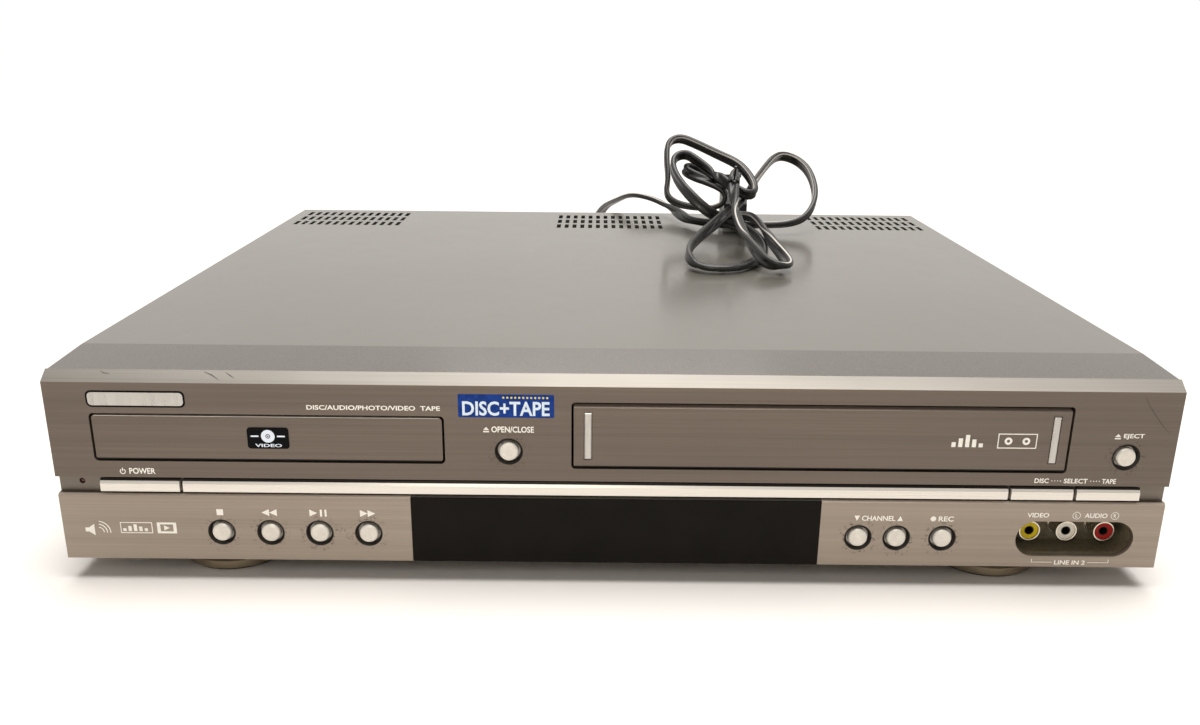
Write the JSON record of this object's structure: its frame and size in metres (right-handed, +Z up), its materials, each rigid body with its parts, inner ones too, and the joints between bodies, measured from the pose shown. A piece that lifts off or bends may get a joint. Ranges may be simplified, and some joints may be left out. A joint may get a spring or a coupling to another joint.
{
  "type": "dvd vcr combo player",
  "caption": "Disc and video cassette combination player with tray loader, cassette flap, front jacks and a bundled mains lead",
  "frame": {"origin": "middle of the player's footprint, on the surface it stands on", "axes": "x to the right seen from the front, y from the front to the rear, z up"},
  "size_m": [0.43, 0.4338, 0.1461],
  "materials": {
    "cover_metal": "satin metallic paint",
    "panel_plastic": "metallic lacquer with a fine brushed grain",
    "bright_plastic": "silver lacquer",
    "button_plastic": "silver lacquer, slightly soiled",
    "smoked_plastic": "dark smoked, polished",
    "tube_glass": "smooth",
    "foot_plastic": "champagne lacquer",
    "pad_rubber": "matt",
    "recess_plastic": "fine texture",
    "jack_metal": "nickel plated",
    "insert_yellow": "moulded",
    "insert_white": "moulded",
    "insert_red": "moulded",
    "plated_steel": "zinc plated sheet",
    "polished_steel": "ground and polished",
    "drum_alloy": "fine turned",
    "mechanism_plastic": "moulded",
    "gear_plastic": "natural acetal",
    "reel_plastic": "moulded",
    "board_resin": "solder resist",
    "lead_rubber": "semi-gloss flexible covering",
    "tie_plastic": "paper-thin plastic over wire"
  },
  "bodies": {
    "casing": {"top_cover": "cover_metal", "front_panel": "panel_plastic", "base_plate": "plated_steel", "rear_panel": "plated_steel", "feet": "foot_plastic", "foot_pads": "pad_rubber", "strip_trim": "bright_plastic", "display_window": "smoked_plastic", "display_tube": "tube_glass", "front_board": "board_resin", "jack_cup": "recess_plastic", "jack_sleeves": "jack_metal", "jack_insert_yellow": "insert_yellow", "jack_insert_white": "insert_white", "jack_insert_red": "insert_red", "loader_frame": "mechanism_plastic", "clamp_bridge": "plated_steel", "deck_plate": "plated_steel", "deck_side_plates": "plated_steel", "drum_base": "drum_alloy", "main_board": "board_resin", "power_board": "board_resin", "rear_jacks": "recess_plastic", "tuner_block": "plated_steel", "lead_relief": "lead_rubber", "mains_lead": "lead_rubber", "lead_bundle": "lead_rubber", "twist_tie": "tie_plastic", "mains_plug": "lead_rubber"},
    "tray": {"disc_tray": "mechanism_plastic", "tray_front": "panel_plastic"},
    "gear": {"tray_gear": "gear_plastic"},
    "traverse": {"traverse_frame": "plated_steel", "spindle_motor": "plated_steel", "guide_rods": "polished_steel"},
    "platter": {"turntable": "mechanism_plastic"},
    "clamp": {"clamp_disc": "mechanism_plastic"},
    "sled": {"pickup": "mechanism_plastic"},
    "door": {"cassette_door": "panel_plastic", "door_trims": "bright_plastic"},
    "sliders": {"carriage_sliders": "mechanism_plastic"},
    "carriage": {"cassette_carriage": "plated_steel"},
    "drum": {"head_drum": "drum_alloy"},
    "capstan_shaft": {"capstan": "polished_steel"},
    "pinch": {"pinch_arm": "plated_steel"},
    "roller": {"pinch_roller": "pad_rubber"},
    "supply": {"supply_reel": "reel_plastic"},
    "takeup": {"takeup_reel": "reel_plastic"},
    "power_button_cap": {"power_button": "bright_plastic"},
    "disc_select_button_cap": {"disc_select_button": "bright_plastic"},
    "tape_select_button_cap": {"tape_select_button": "bright_plastic"},
    "stop_button_cap": {"stop_button": "button_plastic"},
    "rewind_button_cap": {"rewind_button": "button_plastic"},
    "play_button_cap": {"play_button": "button_plastic"},
    "forward_button_cap": {"forward_button": "button_plastic"},
    "channel_down_button_cap": {"channel_down_button": "button_plastic"},
    "channel_up_button_cap": {"channel_up_button": "button_plastic"},
    "record_button_cap": {"record_button": "button_plastic"},
    "open_close_button_cap": {"open_close_button": "button_plastic"},
    "eject_button_cap": {"eject_button": "button_plastic"}
  },
  "joints": [
    {"name": "tray_slide", "type": "slide", "parent": "casing", "child": "tray", "axis": [0, -1, 0], "range_m": [0, 0.135]},
    {"name": "tray_gear_spin", "type": "hinge", "parent": "casing", "child": "gear", "pos_m": [-0.08455, -0.15605, 0.0543], "axis": [0, 0, 1], "range_deg": [-968, 0]},
    {"name": "traverse_tilt", "type": "hinge", "parent": "casing", "child": "traverse", "pos_m": [-0.13155, -0.01405, 0.0463], "axis": [1, 0, 0], "range_deg": [0, 5.1]},
    {"name": "turntable_spin", "type": "hinge", "parent": "traverse", "child": "platter", "pos_m": [-0.13155, -0.11405, 0.0573], "axis": [0, 0, 1], "continuous": true},
    {"name": "clamp_spin", "type": "hinge", "parent": "casing", "child": "clamp", "pos_m": [-0.13155, -0.11405, 0.0693], "axis": [0, 0, 1], "continuous": true},
    {"name": "pickup_slide", "type": "slide", "parent": "traverse", "child": "sled", "axis": [0, 1, 0], "range_m": [0, 0.034]},
    {"name": "door_swing", "type": "hinge", "parent": "casing", "child": "door", "pos_m": [0.0792, -0.18145, 0.0808], "axis": [1, 0, 0], "range_deg": [0, 90], "stiffness_Nm_per_rad": 0.004, "springref_deg": -28.65},
    {"name": "carriage_in", "type": "slide", "parent": "casing", "child": "sliders", "axis": [0, 1, 0], "range_m": [0, 0.04]},
    {"name": "carriage_down", "type": "slide", "parent": "sliders", "child": "carriage", "axis": [0, 0, -1], "range_m": [0, 0.022]},
    {"name": "drum_spin", "type": "hinge", "parent": "casing", "child": "drum", "pos_m": [0.0792, 0.00795, 0.0225], "axis": [0, -0.0976, 0.9952], "continuous": true},
    {"name": "capstan_spin", "type": "hinge", "parent": "casing", "child": "capstan_shaft", "pos_m": [0.16, -0.01805, 0.0293], "axis": [0, 0, 1], "continuous": true},
    {"name": "supply_spin", "type": "hinge", "parent": "casing", "child": "supply", "pos_m": [0.02365, -0.09105, 0.0243], "axis": [0, 0, 1], "continuous": true},
    {"name": "takeup_spin", "type": "hinge", "parent": "casing", "child": "takeup", "pos_m": [0.13475, -0.09105, 0.0243], "axis": [0, 0, 1], "continuous": true},
    {"name": "pinch_swing", "type": "hinge", "parent": "casing", "child": "pinch", "pos_m": [0.17, 0.00195, 0.0293], "axis": [0, 0, 1], "range_deg": [0, 11]},
    {"name": "pinch_roller_spin", "type": "hinge", "parent": "pinch", "child": "roller", "pos_m": [0.152, -0.00805, 0.0363], "axis": [0, 0, 1], "continuous": true},
    {"name": "power_press", "type": "slide", "parent": "casing", "child": "power_button_cap", "axis": [0, 1, 0], "range_m": [0, 0.0008], "stiffness_N_per_m": 400, "springref_m": -0.0005},
    {"name": "disc_select_press", "type": "slide", "parent": "casing", "child": "disc_select_button_cap", "axis": [0, 1, 0], "range_m": [0, 0.0008], "stiffness_N_per_m": 400, "springref_m": -0.0005},
    {"name": "tape_select_press", "type": "slide", "parent": "casing", "child": "tape_select_button_cap", "axis": [0, 1, 0], "range_m": [0, 0.0008], "stiffness_N_per_m": 400, "springref_m": -0.0005},
    {"name": "stop_press", "type": "slide", "parent": "casing", "child": "stop_button_cap", "axis": [0, 1, 0], "range_m": [0, 0.0008], "stiffness_N_per_m": 400, "springref_m": -0.0005},
    {"name": "rewind_press", "type": "slide", "parent": "casing", "child": "rewind_button_cap", "axis": [0, 1, 0], "range_m": [0, 0.0008], "stiffness_N_per_m": 400, "springref_m": -0.0005},
    {"name": "play_press", "type": "slide", "parent": "casing", "child": "play_button_cap", "axis": [0, 1, 0], "range_m": [0, 0.0008], "stiffness_N_per_m": 400, "springref_m": -0.0005},
    {"name": "forward_press", "type": "slide", "parent": "casing", "child": "forward_button_cap", "axis": [0, 1, 0], "range_m": [0, 0.0008], "stiffness_N_per_m": 400, "springref_m": -0.0005},
    {"name": "channel_down_press", "type": "slide", "parent": "casing", "child": "channel_down_button_cap", "axis": [0, 1, 0], "range_m": [0, 0.0008], "stiffness_N_per_m": 400, "springref_m": -0.0005},
    {"name": "channel_up_press", "type": "slide", "parent": "casing", "child": "channel_up_button_cap", "axis": [0, 1, 0], "range_m": [0, 0.0008], "stiffness_N_per_m": 400, "springref_m": -0.0005},
    {"name": "record_press", "type": "slide", "parent": "casing", "child": "record_button_cap", "axis": [0, 1, 0], "range_m": [0, 0.0008], "stiffness_N_per_m": 400, "springref_m": -0.0005},
    {"name": "open_close_press", "type": "slide", "parent": "casing", "child": "open_close_button_cap", "axis": [0, 1, 0], "range_m": [0, 0.0008], "stiffness_N_per_m": 400, "springref_m": -0.0005},
    {"name": "eject_press", "type": "slide", "parent": "casing", "child": "eject_button_cap", "axis": [0, 1, 0], "range_m": [0, 0.0008], "stiffness_N_per_m": 400, "springref_m": -0.0005}
  ],
  "couplings": [
    {"joint": "tray_gear_spin", "follows": "tray_slide", "rad_per_m": -125},
    {"joint": "traverse_tilt", "follows": "tray_slide", "rad_per_m": 0.6464},
    {"joint": "clamp_spin", "follows": "turntable_spin", "ratio": 1}
  ]
}
